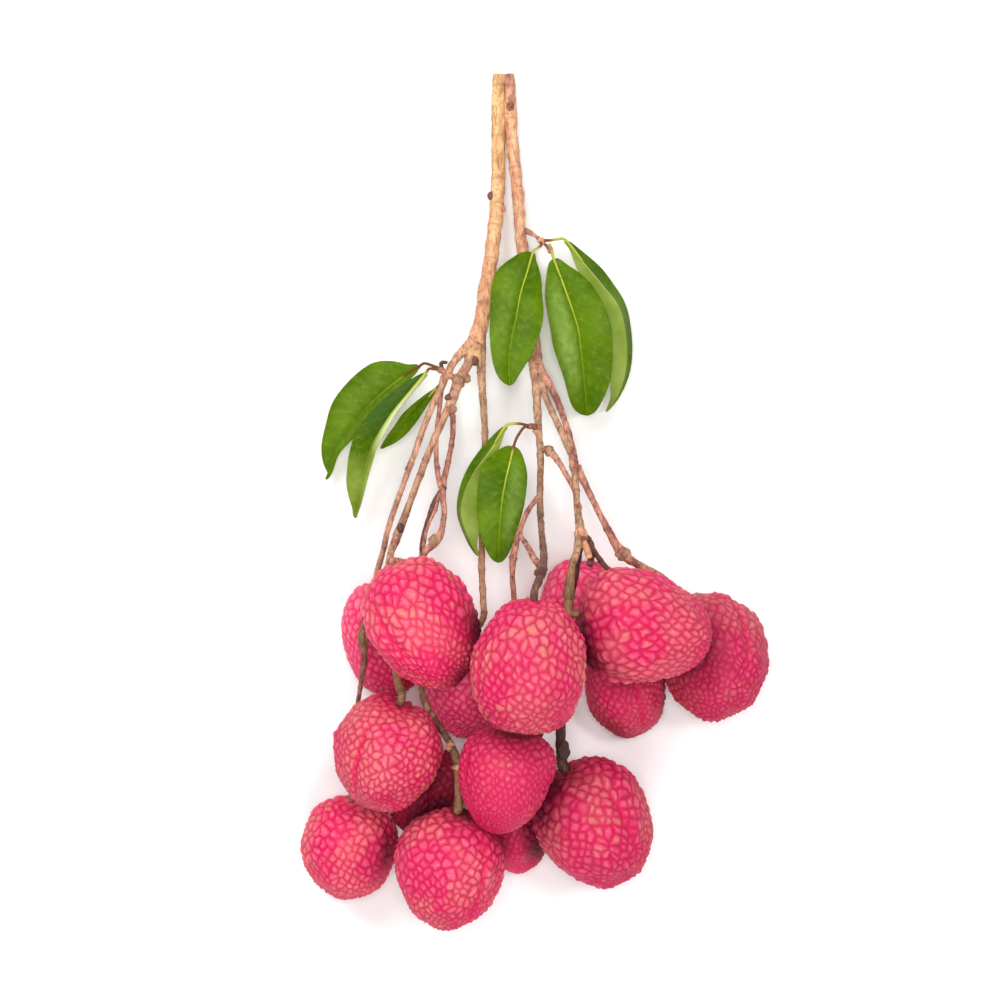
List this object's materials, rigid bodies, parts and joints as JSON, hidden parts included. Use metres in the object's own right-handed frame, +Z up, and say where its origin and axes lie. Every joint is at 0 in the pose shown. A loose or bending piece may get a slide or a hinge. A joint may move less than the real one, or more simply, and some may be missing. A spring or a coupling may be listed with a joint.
{
  "type": "bunch of lychees",
  "caption": "Bunch of lychees as picked, lying flat: bumpy pink-red fruits hanging from a forked woody stem with glossy green leaves.",
  "frame": {"origin": "centre of the bounding box in X and Y, on the surface that the bunch lies on", "axes": "+Y along the bunch towards the cut end of the stem, +Z up from the surface, +X to the right as seen from above with the stem away from the viewer"},
  "size_m": [0.1412, 0.2577, 0.0757],
  "materials": {
    "bark": "matt bark, tan on the two main stems and red-brown on the thin ones",
    "rind": "leathery, satin; salmon-pink bumps with deep crimson grooves",
    "leaf": "waxy gloss above with a yellow-green midrib, paler and matt below"
  },
  "bodies": {
    "root": {"branch": "bark", "fruit_01": "rind", "fruit_02": "rind", "fruit_03": "rind", "fruit_04": "rind", "fruit_05": "rind", "fruit_06": "rind", "fruit_07": "rind", "fruit_08": "rind", "fruit_09": "rind", "fruit_10": "rind", "fruit_11": "rind", "fruit_12": "rind", "fruit_13": "rind", "fruit_14": "rind", "fruit_15": "rind", "leaf_01": "leaf", "leaf_02": "leaf", "leaf_03": "leaf", "leaf_04": "leaf", "leaf_05": "leaf", "leaf_06": "leaf", "leaf_07": "leaf", "leaf_08": "leaf"}
  },
  "joints": []
}
